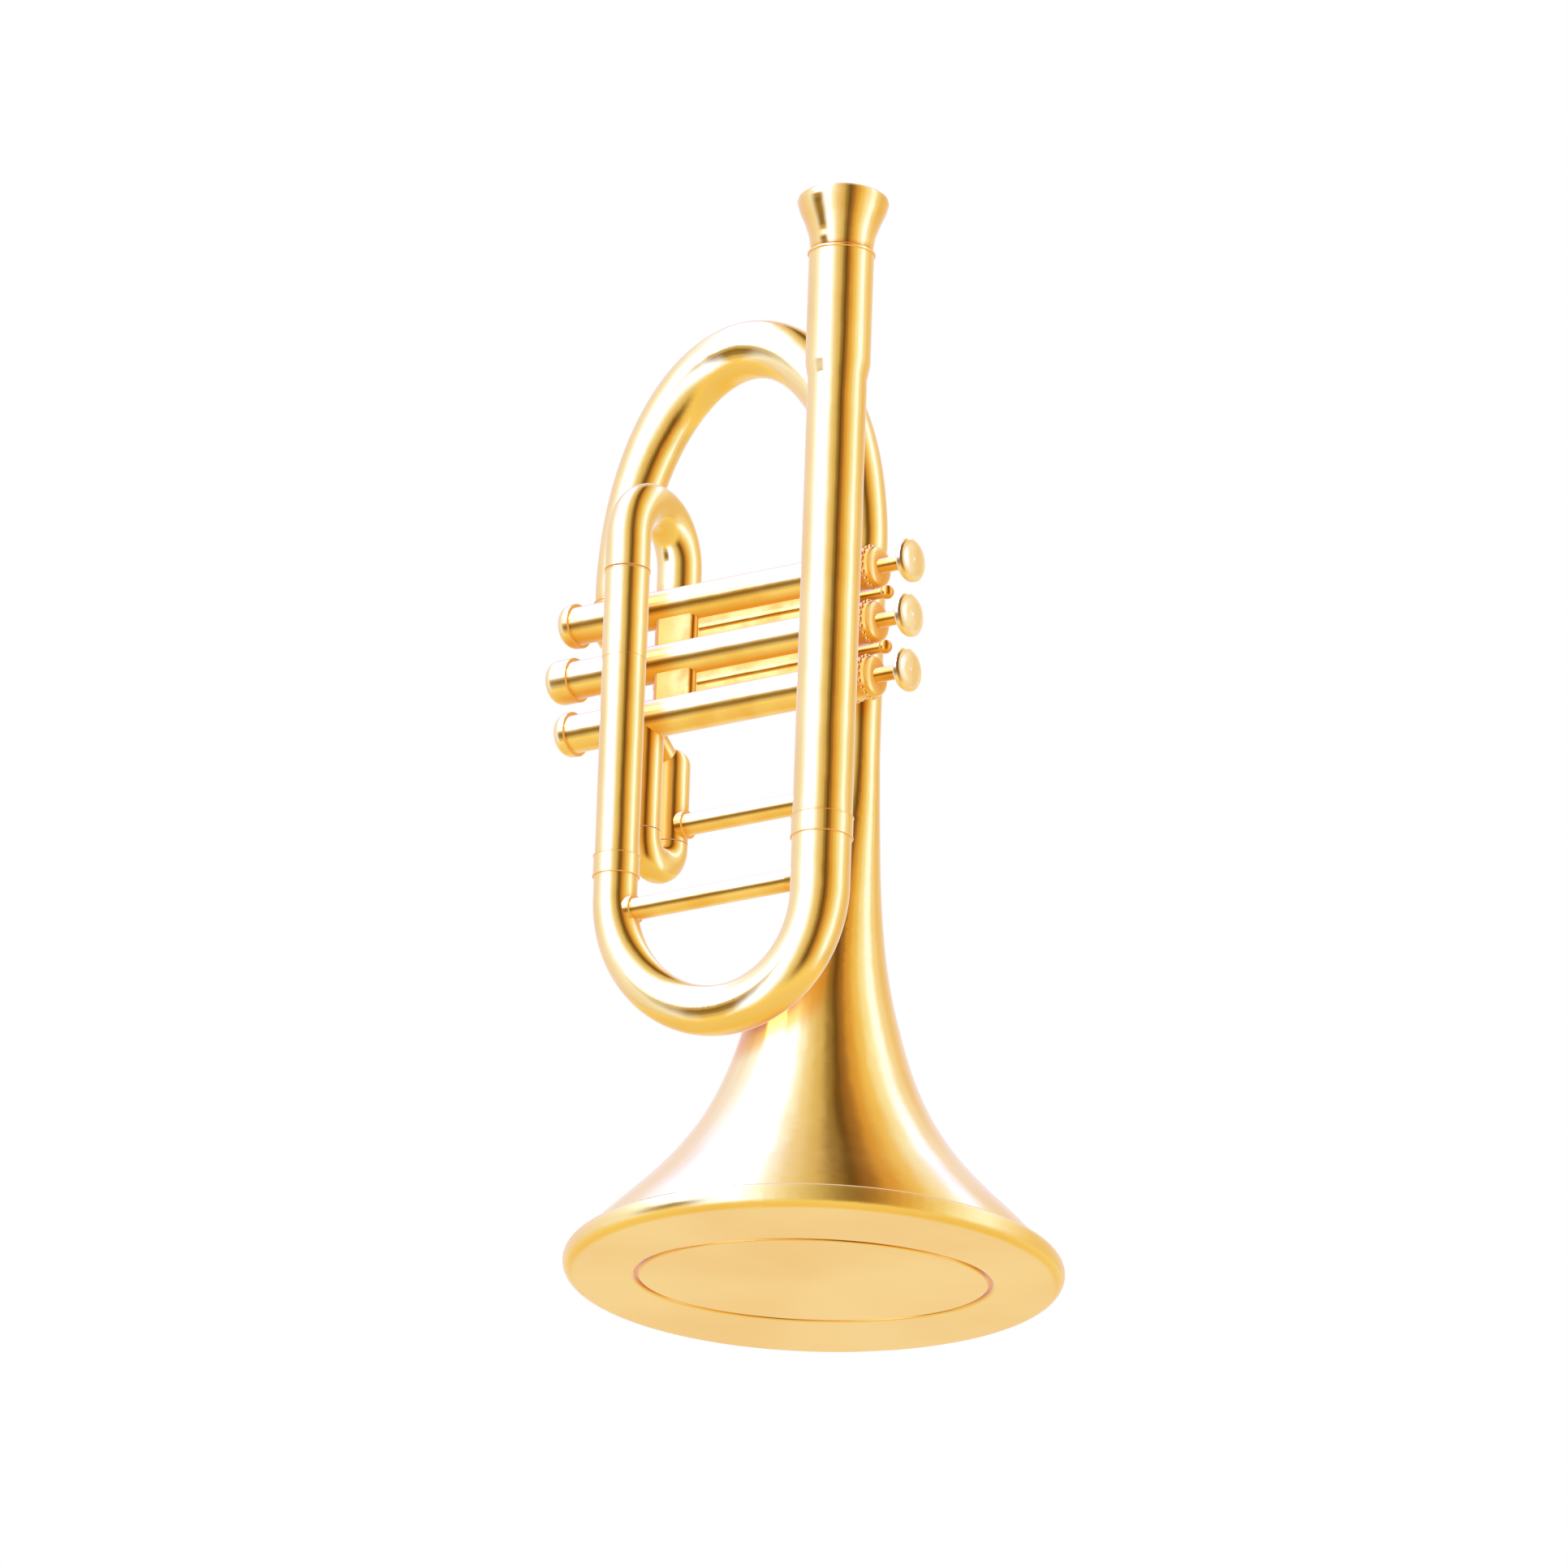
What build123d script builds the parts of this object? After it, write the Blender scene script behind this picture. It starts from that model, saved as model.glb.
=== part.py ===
from build123d import *
import os
from math import cos, pi, sin, sqrt

# Piston-valve horn in cornet form, standing mouth-down on its bell rim.
# Origin: centre of the bell mouth on the floor plane. +Z towards the mouthpiece,
# +X towards the finger buttons, -Y towards the leadpipe. Millimetres.

os.makedirs("parts", exist_ok=True)

# ---- driving dimensions -------------------------------------------------

# planes the tubing lies in
front_y = -32.0
valve_y = -15.0
rear_y = 0.0

# bell: outer radius and height of the flare, from the rim up to the seam
bell_rim_r = 77.5
bell_wall = 1.0
flare_points = [
    (73.2, 7.6),
    (68.6, 13.0),
    (55.4, 26.0),
    (44.2, 38.5),
    (35.8, 51.0),
    (29.5, 64.5),
    (24.6, 80.0),
]
bell_split_z = 80.0
taper_end_z = 170.0
taper_power = 1.58
taper_steps = 9
stem_x = 9.5
stem_r = 7.5
oval_long = 55.5
oval_short = 42.5
oval_turn = 35.0
oval_groove = 1.5
ring_height = 7.6
ring_lip_r = 3.9
ring_sole = 1.7
mouth_ledge = 1.6
mouth_plate_thick = 1.2

# bell bow over the top
bow_spring_z = 236.0
bow_rise = 76.5
bow_far_x = -83.2
bow_end_r = 7.5
bow_apex_r = 9.2
tube_wall = 1.0
ferrule_wall = 0.35
ferrule_len = 7.0
bell_ferrule_len = 4.2
bead_r = 0.2

# leadpipe, main bow and return pipe
lead_x = 19.8
lead_r = 9.3
receiver_r = 10.2
receiver_bead_r = 0.5
receiver_z0 = 282.0
receiver_z1 = 324.0
main_bow_z = 120.0
main_bow_tilt = 0.12
main_bow_seam_z = 131.0
main_bow_mid_r = 7.9
return_x = -57.6
return_r = 6.9

# tuning slide: a crook whose two legs run in sleeves
sleeve_wall = 1.0
slide_leg_r = 6.0
slide_leg_len = 25.0
slide_fit = 0.05
slide_seam = 0.4
tuning_split_z = 232.0
tuning_bow_z = 242.5
tuning_sleeve_len = 29.0
tuning_rear_x = -60.4

# third valve slide
third_x = -60.4
third_leg_r = 4.7
third_split_z = 152.0
third_sleeve_len = 24.0
third_leg_len = 21.0

# valves, numbered from the top
valve_z = [224.5, 206.5, 188.5]
casing_r = 6.0
casing_bore_r = 4.8
casing_x0 = -90.3
casing_x1 = 20.0
piston_fit = 0.06
piston_len = 96.0
spring_seat_x = -66.0
piston_wall = 0.9
thread_gap = 0.04
cap_r = 7.1
cap_skirt = 2.8
bottom_cap_reach = [2.4, 6.4, 2.4]
bottom_cap_wall = 1.2
bottom_cap_round = 3.8
bottom_vent_r = 1.2
top_cap_x0 = 16.0
top_cap_x1 = 27.0
top_cap_r = 6.6
stem_rod_r = 2.3
stem_fit = 0.08
button_r = 6.9
button_thick = 3.2
button_gap = 8.9
inlay_r = 5.2
inlay_proud = 0.5
felt_thick = 0.6
spring_coil_r = 3.2
spring_wire_r = 0.35
spring_turns = 7

# ribs between the casings
web_thick = 2.4
web_x0 = -50.0
web_x1 = 14.0
rib_x0 = -40.5
rib_r = 1.7
knob_r = 2.2
knob_x = 29.5
link_x = -48.5
link_len = 15.0
link_depth = 7.6
link_bore_r = 2.8

# knuckles
knuckle_r = 4.2
small_knuckle_r = 3.45
feed_rise = 11.0
third_drop = 11.0

# braces
brace_r = 3.5
brace_flange_r = 4.5
brace_flange_t = 2.5
lower_brace_z = 119.4
upper_brace_z = 157.4
seat_gap = 0.06

# mouthpiece
mouth_r = 14.35
mouth_top_z = 343.0
cup_height = 18.6
cup_rim_inner_r = 8.6
cup_depth = 11.5
cup_throat_r = 1.9
shank_len = 44.0
shank_r0 = 5.9
shank_r1 = 5.2
shank_fit = 0.04

# ---- helpers --------------------------------------------------------------


def save(name, shape):
    """Write one solid as its own file."""
    export_step(shape, "parts/" + name + ".step")


def one(shape):
    """Largest solid of a result, as a plain Solid."""
    solids = shape.solids()
    return max(solids, key=lambda s: s.volume)


def rod(p, q, r):
    """Cylinder of radius r from point p to point q."""
    a = Vector(*p)
    b = Vector(*q)
    d = b - a
    return Solid.make_cylinder(r, d.length, Plane(origin=a, z_dir=d))


def cone(p, q, r0, r1):
    """Cone from point p (radius r0) to point q (radius r1)."""
    a = Vector(*p)
    b = Vector(*q)
    d = b - a
    return Solid.make_cone(r0, r1, d.length, Plane(origin=a, z_dir=d))


def pipe(p, q, r, bore):
    """Straight hollow pipe from p to q."""
    return rod(p, q, r) - rod(p, q, bore)


def turned(pts, axis_x, axis_y):
    """Solid of revolution about a vertical axis, from (radius, height) points."""
    face = make_face(Plane.XZ * Polyline(*pts, close=True))
    return Pos(axis_x, axis_y, 0) * revolve(face, Axis.Z)


def turned_x(pts, y, z):
    """Solid of revolution about an axis along X, from (x, radius) points."""
    face = make_face(Plane.XY * Polyline(*pts, close=True))
    return Pos(0, y, z) * revolve(face, Axis.X)


def ring_stack(x, y, z, r_in, r_out, height):
    """Ferrule: a plain collar with a raised bead at each end."""
    body = Solid.make_cylinder(r_out, height, Plane(origin=(x, y, z)))
    for h in (bead_r, height - bead_r):
        body = body + Pos(x, y, z + h) * Torus(r_out, bead_r)
    return body - Solid.make_cylinder(r_in, height + 4, Plane(origin=(x, y, z - 2)))


def loft_rings(rings):
    """Loft through circles given as (origin, tangent, radius), with a shared Y seam."""
    faces = []
    for origin, tangent, r in rings:
        plane = Plane(origin=origin, x_dir=(0, 1, 0), z_dir=tangent)
        faces.append(plane * Circle(r))
    return loft(faces)


def bow_path(cx, cz, half, rise, y, turn0, turn1, steps):
    """Points and tangents along part of an ellipse in a plane of constant Y."""
    out = []
    for i in range(steps + 1):
        t = turn0 + (turn1 - turn0) * i / steps
        origin = (cx + half * cos(t), y, cz + rise * sin(t))
        tangent = (-half * sin(t), 0, rise * cos(t))
        out.append((origin, tangent, i / steps))
    return out


# ---- bell -------------------------------------------------------------------

flare_top_r = flare_points[-1][0]


def flare_inner_points():
    """Flare profile moved in by the wall, square to the skin."""
    out = []
    for i, (r, z) in enumerate(flare_points):
        before = flare_points[max(i - 1, 0)]
        after = flare_points[min(i + 1, len(flare_points) - 1)]
        slope = (after[0] - before[0]) / (after[1] - before[1])
        out.append((r - bell_wall * sqrt(1 + slope**2), z))
    return out


outer_curve = Plane.XZ * Spline(*flare_points)
inner_curve = Plane.XZ * Spline(*flare_inner_points())
flare_edges = [outer_curve, inner_curve]
for k in (0, 1):
    flare_edges.append(Line(outer_curve @ k, inner_curve @ k))
bell_flare = revolve(make_face(flare_edges), Axis.Z)
save("bell_flare", one(Pos(0, rear_y, 0) * bell_flare))


def tail_skin(inset):
    """Bell tail: a taper that leans over to the stem, then the straight stem."""
    rings = []
    for i in range(taper_steps + 1):
        s = i / taper_steps
        z = bell_split_z + (taper_end_z - bell_split_z) * s
        r = stem_r + (flare_top_r - stem_r) * (1 - s) ** taper_power
        x = stem_x * s * s * (3 - 2 * s)
        rings.append(Pos(x, rear_y, z) * Circle(r - inset))
    stem = rod((stem_x, rear_y, taper_end_z), (stem_x, rear_y, bow_spring_z), stem_r - inset)
    return loft(rings) + stem


def tail_side(z):
    """X of the tail's skin on the side away from the buttons, at height z."""
    s = min(max((z - bell_split_z) / (taper_end_z - bell_split_z), 0), 1)
    r = stem_r + (flare_top_r - stem_r) * (1 - s) ** taper_power
    return stem_x * s * s * (3 - 2 * s) - r


tail_outer = tail_skin(0)
save("bell_tail", one(tail_outer - tail_skin(bell_wall)))

# flat rim the horn stands on, with a fat rolled lip and an oval recess
base = (Align.CENTER, Align.CENTER, Align.MIN)
rim_plate = Cylinder(bell_rim_r - ring_lip_r, ring_height, align=base)
rim_plate = rim_plate + Pos(0, 0, ring_lip_r) * Torus(bell_rim_r - ring_lip_r, ring_lip_r)
rim_plate = rim_plate & Cylinder(bell_rim_r + 1, ring_height, align=base)
oval = Rot(0, 0, oval_turn) * Ellipse(oval_long, oval_short)
rim_plate = rim_plate - extrude(oval, ring_height, both=True)
relief_r = bell_rim_r - 2 * ring_lip_r - 1.2
rim_plate = rim_plate - Pos(0, 0, ring_sole) * Cylinder(relief_r, ring_height, align=base)
inner_edge = rim_plate.edges().filter_by(GeomType.ELLIPSE).sort_by(Axis.Z)[0]
rim_plate = fillet(inner_edge, 0.7)
save("bell_rim_ring", one(Pos(0, rear_y, 0) * rim_plate))

# plate that closes the mouth: a raised oval, flush with the rim, set off by a groove
panel = Rot(0, 0, oval_turn) * Ellipse(oval_long - oval_groove, oval_short - oval_groove)
mouth_plate = extrude(panel, ring_sole)
mouth_plate = fillet(mouth_plate.edges().filter_by(GeomType.ELLIPSE).sort_by(Axis.Z)[0], 0.5)
flange = Cylinder(oval_long + mouth_ledge, mouth_plate_thick, align=base)
mouth_plate = mouth_plate + Pos(0, 0, ring_sole) * flange
save("bell_mouth_plate", one(Pos(0, rear_y, 0) * mouth_plate))

# ---- bell bow over the top ----------------------------------------------------

bow_cx = (stem_x + bow_far_x) / 2
bow_half = (stem_x - bow_far_x) / 2


def bell_bow_rings(inset):
    """Circles along the bell bow, fattest at the crown."""
    rings = []
    for origin, tangent, s in bow_path(bow_cx, bow_spring_z, bow_half, bow_rise, rear_y, 0, pi, 14):
        r = bow_end_r + (bow_apex_r - bow_end_r) * sin(pi * s)
        rings.append((origin, tangent, r - inset))
    return rings


bell_bow = loft_rings(bell_bow_rings(0)) - loft_rings(bell_bow_rings(tube_wall))
save("bell_bow", one(bell_bow))
far_z = valve_z[0]
for name, x in (("bell_bow_ferrule_stem", stem_x), ("bell_bow_ferrule_valve", bow_far_x)):
    collar = ring_stack(
        x, rear_y, bow_spring_z - bell_ferrule_len, stem_r, stem_r + ferrule_wall, bell_ferrule_len - 0.3
    )
    save(name, one(collar))

# elbow that carries the bow's far leg into the first casing
elbow_r = bow_end_r
casing_rods = [rod((casing_x0, valve_y, z), (casing_x1, valve_y, z), casing_r) for z in valve_z]


def elbow(x, z_end, z_elbow, z_valve, leg_r, knuckle, casing):
    """Leg, ball elbow and knuckle that lead a rear limb into a casing."""
    centre = (x, rear_y, z_elbow)
    inner_r = leg_r - tube_wall
    aim = (x, valve_y, z_valve)
    way = 1 if z_end > z_elbow else -1
    solid = rod(centre, (x, rear_y, z_end), leg_r)
    solid = solid + Pos(*centre) * Sphere(leg_r)
    solid = solid + rod(centre, aim, knuckle)
    hollow = rod(centre, (x, rear_y, z_end), inner_r)
    hollow = hollow + Pos(*centre) * Sphere(inner_r)
    hollow = hollow + rod(centre, aim, knuckle - tube_wall)
    beyond = Pos(x, rear_y, z_end + way * 20) * Box(40, 40, 40)
    return one(solid - hollow - casing - beyond)


bell_knuckle = elbow(bow_far_x, bow_spring_z, far_z + 2.0, far_z, elbow_r, knuckle_r, casing_rods[0])
save("bell_knuckle", bell_knuckle)

# ---- leadpipe side ----------------------------------------------------------------

lead_low = (lead_x, front_y, main_bow_seam_z)
lead_high = (lead_x, front_y, receiver_z0)
save("leadpipe", pipe(lead_low, lead_high, lead_r, lead_r - tube_wall))

socket_z = mouth_top_z - cup_height - shank_len
receiver = cone((lead_x, front_y, receiver_z0), (lead_x, front_y, receiver_z0 + 5), lead_r, receiver_r)
receiver = receiver + rod((lead_x, front_y, receiver_z0 + 5), (lead_x, front_y, receiver_z1), receiver_r)
receiver = receiver + Pos(lead_x, front_y, receiver_z1 - receiver_bead_r) * Torus(receiver_r, receiver_bead_r)
socket = cone(
    (lead_x, front_y, socket_z),
    (lead_x, front_y, receiver_z1 + 2),
    shank_r1 + shank_fit,
    shank_r0 + shank_fit + (shank_r0 - shank_r1) * (receiver_z1 + 2 - socket_z - shank_len) / shank_len,
)
receiver = receiver - socket - rod((lead_x, front_y, socket_z - 60), (lead_x, front_y, socket_z + 1), shank_r1 - 0.6)
save("mouthpiece_receiver", one(receiver))

main_cx = (lead_x + return_x) / 2
main_half = (lead_x - return_x) / 2


def main_bow_rings(inset):
    """Circles round the main bow, tapering from the leadpipe to the return pipe."""
    rings = []
    for origin, tangent, s in bow_path(main_cx, main_bow_z, main_half, main_half, front_y, 0, -pi, 12):
        r = lead_r + (return_r - lead_r) * s
        dip = (lead_r + return_r) / 2 - main_bow_mid_r
        r = r - dip * sin(pi * s) ** 2
        drop = main_bow_tilt * (origin[0] - main_cx)
        spot = (origin[0], front_y, origin[2] - drop)
        rings.append((spot, (-tangent[0], 0, main_bow_tilt * tangent[0] - tangent[2]), r - inset))
    return rings


def main_bow_skin(inset):
    """Main bow with the short straight legs that reach up to its two seams."""
    skin = loft_rings(main_bow_rings(inset))
    for x, r in ((lead_x, lead_r), (return_x, return_r)):
        spring_z = main_bow_z - main_bow_tilt * (x - main_cx)
        skin = skin + rod((x, front_y, spring_z), (x, front_y, main_bow_seam_z), r - inset)
    return skin


main_bow_outer = main_bow_skin(0)
save("main_bow", one(main_bow_outer - main_bow_skin(tube_wall)))
for name, x, r in (("lead", lead_x, lead_r), ("return", return_x, return_r)):
    collar = ring_stack(x, front_y, main_bow_seam_z, r, r + ferrule_wall, ferrule_len)
    save("main_bow_ferrule_" + name, one(collar))

# ---- tuning slide ---------------------------------------------------------------

slide_bore = slide_leg_r + slide_fit
sleeve_r = slide_bore + sleeve_wall
sleeve_z0 = tuning_split_z - tuning_sleeve_len
return_low = (return_x, front_y, main_bow_seam_z)
return_high = (return_x, front_y, sleeve_z0)
save("return_pipe", pipe(return_low, return_high, return_r, return_r - tube_wall))
tuning_legs = [(return_x, front_y), (tuning_rear_x, rear_y)]
for name, (x, y) in zip(("tuning_sleeve_front", "tuning_sleeve_rear"), tuning_legs):
    sleeve = rod((x, y, sleeve_z0), (x, y, tuning_split_z), sleeve_r)
    sleeve = sleeve + Pos(x, y, tuning_split_z - bead_r) * Torus(sleeve_r, bead_r)
    save(name, one(sleeve - rod((x, y, sleeve_z0 - 1), (x, y, tuning_split_z + 1), slide_bore)))

crook_z0 = tuning_split_z + slide_seam


def u_tube(legs, z_ends, z_bow, r, sign):
    """U of constant bore over two legs at (x, y); sign +1 opens down, -1 opens up."""
    (xa, ya), (xb, yb) = legs
    half = sqrt((xb - xa) ** 2 + (yb - ya) ** 2) / 2
    middle = ((xa + xb) / 2, (ya + yb) / 2, z_bow)
    across = Plane(origin=middle, x_dir=(0, 0, 1), z_dir=(yb - ya, xa - xb, 0))
    ring = across * Torus(half, r)
    box = Pos(middle[0], middle[1], z_bow + sign * 50) * Box(160, 160, 100)
    solid = ring & box
    for x, y in legs:
        solid = solid + rod((x, y, z_ends), (x, y, z_bow), r)
    return solid


crook_inner_r = slide_leg_r - sleeve_wall
crook = u_tube(tuning_legs, crook_z0, tuning_bow_z, sleeve_r, 1)
for x, y in tuning_legs:
    crook = crook + rod((x, y, crook_z0 - slide_leg_len), (x, y, crook_z0 + 1), slide_leg_r)
    crook = crook + Pos(x, y, crook_z0 + bead_r) * Torus(sleeve_r, bead_r)
hollow = u_tube(tuning_legs, crook_z0 - slide_leg_len - 1, tuning_bow_z, crook_inner_r, 1)
save("tuning_crook", one(crook - hollow))

feed_z = valve_z[2] + feed_rise
feed_elbow = elbow(tuning_rear_x, sleeve_z0, feed_z, valve_z[2], return_r, small_knuckle_r, casing_rods[2])
save("feed_elbow", feed_elbow)

# ---- third valve slide -----------------------------------------------------------

third_bore = third_leg_r + slide_fit
third_r = third_bore + sleeve_wall
third_sleeve_z1 = third_split_z + third_sleeve_len
front_top = valve_z[2]
third_front = rod((third_x, valve_y, third_split_z), (third_x, valve_y, front_top), third_r)
third_front = third_front - rod((third_x, valve_y, third_split_z - 1), (third_x, valve_y, front_top), third_bore)
third_front = third_front + Pos(third_x, valve_y, third_split_z + bead_r) * Torus(third_r - 0.3, bead_r)
third_front = third_front - rod((third_x, valve_y, third_split_z - 1), (third_x, valve_y, front_top), third_bore)
third_elbow_z = valve_z[2] - third_drop
third_knuckle = rod((third_x, rear_y, third_elbow_z), (third_x, valve_y, valve_z[2]), small_knuckle_r)
save("third_sleeve_front", one(third_front - casing_rods[2] - third_knuckle))
third_rear = pipe(
    (third_x, rear_y, third_split_z), (third_x, rear_y, third_sleeve_z1), third_r, third_bore
)
third_lip = Pos(third_x, rear_y, third_split_z + bead_r) * Torus(third_r - 0.3, bead_r)
third_lip = third_lip - rod((third_x, rear_y, third_split_z - 1), (third_x, rear_y, third_sleeve_z1), third_bore)
save("third_sleeve_rear", one(third_rear + third_lip))
third_elbow = elbow(
    third_x, third_sleeve_z1, third_elbow_z, valve_z[2], third_r, small_knuckle_r, casing_rods[2]
)
save("third_elbow", third_elbow)

third_legs = [(third_x, valve_y), (third_x, rear_y)]
third_crook_z = third_split_z - slide_seam
third_bow_z = third_crook_z - 1.0
third_crook = u_tube(third_legs, third_crook_z, third_bow_z, third_r, -1)
for x, y in third_legs:
    leg_top = (x, y, third_crook_z + third_leg_len)
    third_crook = third_crook + rod((x, y, third_crook_z - 1), leg_top, third_leg_r)
third_hollow = u_tube(third_legs, third_crook_z + third_leg_len + 1, third_bow_z, third_leg_r - 0.9, -1)
save("third_valve_crook", one(third_crook - third_hollow))

# ---- valves ---------------------------------------------------------------------

piston_r = casing_bore_r - piston_fit
stem_hole_r = stem_rod_r + stem_fit
button_x0 = top_cap_x1 + button_gap
piston_x1 = top_cap_x0 - 1.0
piston_x0 = piston_x1 - piston_len
port_x = {0: [bow_far_x, link_x], 1: [link_x], 2: [link_x, third_x]}

for i, z in enumerate(valve_z):
    n = str(i + 1)
    casing = pipe((casing_x0, valve_y, z), (casing_x1, valve_y, z), casing_r, casing_bore_r)
    ports = []
    if i > 0:
        ports.append(rod((link_x, valve_y, z), (link_x, valve_y, z + 9), link_bore_r))
    if i < 2:
        ports.append(rod((link_x, valve_y, z), (link_x, valve_y, z - 9), link_bore_r))
    if i == 0:
        ports.append(rod((bow_far_x, valve_y, z), (bow_far_x, rear_y, z + 2.0), knuckle_r - tube_wall))
    if i == 2:
        small_bore = small_knuckle_r - tube_wall
        ports.append(rod((tuning_rear_x, valve_y, z), (tuning_rear_x, rear_y, feed_z), small_bore))
        ports.append(rod((third_x, valve_y, z), (third_x, rear_y, third_elbow_z), small_bore))
        ports.append(rod((third_x, valve_y, z), (third_x, valve_y, z - 9), third_leg_r - 1.2))
    for port in ports:
        casing = casing - port
    save("valve_casing_" + n, one(casing))

    # screwed bottom cap with a rounded end and a vent
    end_x = casing_x0 - bottom_cap_reach[i]
    round_r = bottom_cap_round
    pts = [(casing_x0 + cap_skirt, casing_r + thread_gap), (casing_x0 + cap_skirt, cap_r)]
    pts.append((end_x + round_r, cap_r))
    for k in range(1, 6):
        a = pi / 2 * k / 6
        pts.append((end_x + round_r - round_r * sin(a), cap_r - round_r + round_r * cos(a)))
    pts.append((end_x, cap_r - round_r))
    pts.append((end_x, bottom_vent_r))
    pts.append((end_x + bottom_cap_wall, bottom_vent_r))
    pts.append((end_x + bottom_cap_wall, casing_bore_r - 1.0))
    pts.append((end_x + bottom_cap_wall + 0.6, casing_bore_r - 0.2))
    pts.append((casing_x0 - thread_gap, casing_bore_r - 0.2))
    pts.append((casing_x0 - thread_gap, casing_r + thread_gap))
    save("bottom_cap_" + n, one(turned_x(pts, valve_y, z)))

    # screwed top cap that guides the stem
    top = [(top_cap_x0, casing_r + thread_gap), (top_cap_x0, top_cap_r)]
    top.append((top_cap_x1 - 1.6, top_cap_r))
    top.append((top_cap_x1 - 0.5, top_cap_r - 0.5))
    top.append((top_cap_x1, top_cap_r - 1.6))
    top.append((top_cap_x1, stem_hole_r))
    top.append((casing_x1 + thread_gap, stem_hole_r))
    top.append((casing_x1 + thread_gap, casing_r + thread_gap))
    save("top_cap_" + n, one(turned_x(top, valve_y, z)))

    # piston with its cross ports, and the rod that carries the button
    piston = pipe((piston_x0, valve_y, z), (piston_x1, valve_y, z), piston_r, piston_r - piston_wall)
    for seat in (piston_x1, spring_seat_x + 1.6):
        piston = piston + rod((seat - 1.6, valve_y, z), (seat, valve_y, z), piston_r)
    for x in port_x[i]:
        if x > spring_seat_x + 4:
            piston = piston - rod((x, valve_y, z - 9), (x, valve_y, z + 9), 2.4)
    rod_piece = rod((piston_x1, valve_y, z), (button_x0, valve_y, z), stem_rod_r)
    save("valve_piston_" + n, one(piston))
    save("valve_stem_" + n, rod_piece)

    # dished finger button with a set-in disc
    btn = [(button_x0, 0), (button_x0, 3.6), (button_x0 + 0.9, button_r - 0.4)]
    btn.append((button_x0 + 1.5, button_r))
    btn.append((button_x0 + button_thick - 0.6, button_r))
    btn.append((button_x0 + button_thick, button_r - 0.6))
    btn.append((button_x0 + button_thick, inlay_r + 0.02))
    btn.append((button_x0 + button_thick - 1.2, inlay_r + 0.02))
    btn.append((button_x0 + button_thick - 1.2, 0))
    save("finger_button_" + n, one(turned_x(btn, valve_y, z)))
    disc_x = button_x0 + button_thick - 1.2
    disc = [(disc_x, 0), (disc_x, inlay_r), (disc_x + 1.2, inlay_r)]
    disc.append((disc_x + 1.2 + inlay_proud * 0.7, inlay_r * 0.6))
    disc.append((disc_x + 1.2 + inlay_proud, 0))
    save("button_inlay_" + n, one(turned_x(disc, valve_y, z)))

    # felt washer under the button
    felt = pipe((button_x0 - felt_thick, valve_y, z), (button_x0, valve_y, z), 4.2, stem_rod_r)
    save("button_felt_" + n, felt)

    # return spring between the bottom cap and the piston
    spring_x0 = end_x + bottom_cap_wall + 0.15
    spring_x1 = spring_seat_x - 0.15
    length = spring_x1 - spring_x0 - 2 * spring_wire_r
    path = Edge.make_helix(length / spring_turns, length, spring_coil_r)
    profile = Plane(origin=path @ 0, z_dir=path % 0) * Circle(spring_wire_r)
    coil = sweep(profile, path=Wire([path]), is_frenet=True)
    coil = Pos(spring_x0 + spring_wire_r, valve_y, z) * Rot(0, 90, 0) * coil
    save("valve_spring_" + n, one(coil))

# ribs that tie neighbouring casings, with a knob at the button end
for i in range(2):
    z_mid = (valve_z[i] + valve_z[i + 1]) / 2
    gap = valve_z[i] - valve_z[i + 1]
    plate = Pos((web_x0 + web_x1) / 2, valve_y, z_mid) * Box(web_x1 - web_x0, web_thick, gap)
    rib = rod((rib_x0, valve_y, z_mid), (knob_x, valve_y, z_mid), rib_r)
    knob = Pos(knob_x, valve_y, z_mid) * Sphere(knob_r)
    link = Box(link_len, link_depth, gap)
    link = Pos(link_x, valve_y, z_mid) * fillet(link.edges().filter_by(Axis.Z), 2.0)
    bore = rod((link_x, valve_y, z_mid - gap / 2), (link_x, valve_y, z_mid + gap / 2), link_bore_r)
    web = plate + rib + knob + link - bore
    for tube in casing_rods:
        web = web - tube
    web = web - rod((tuning_rear_x, rear_y, feed_z), (tuning_rear_x, valve_y, valve_z[2]), small_knuckle_r)
    save("casing_web_" + str(i + 1), one(web))

# short posts that tie the valve group to the leadpipe and to the bell stem
post_r = 3.0
post_x = top_cap_x0 - post_r - 0.4
lead_tube = rod(lead_low, lead_high, lead_r)
post_front = rod((post_x, front_y, valve_z[1]), (post_x, valve_y, valve_z[1]), post_r)
save("post_leadpipe", one(post_front - lead_tube - casing_rods[1]))
post_rear = rod((stem_x, rear_y, valve_z[1]), (stem_x, valve_y, valve_z[1]), post_r)
save("post_bell_stem", one(post_rear - tail_outer - casing_rods[1]))

# ---- braces -----------------------------------------------------------------------


def brace(x0, x1, y, z, cut):
    """Round stay along X with a flange at each end, cut to the tubes it meets."""
    solid = rod((x0, y, z), (x1, y, z), brace_r)
    for x, way in ((x0, 1), (x1, -1)):
        solid = solid + rod((x, y, z), (x + way * brace_flange_t, y, z), brace_flange_r)
    for tube in cut:
        solid = solid - tube
    return one(solid)


saddle = 1.4
low_x0 = return_x + return_r - saddle
low_x1 = lead_x - lead_r + saddle
save("lower_brace", brace(low_x0, low_x1, front_y, lower_brace_z, [main_bow_outer]))
third_tube = rod((third_x, rear_y, third_split_z - 5), (third_x, rear_y, third_sleeve_z1), third_r)
high_x0 = third_x + third_r - saddle
high_x1 = tail_side(upper_brace_z) + saddle
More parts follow.
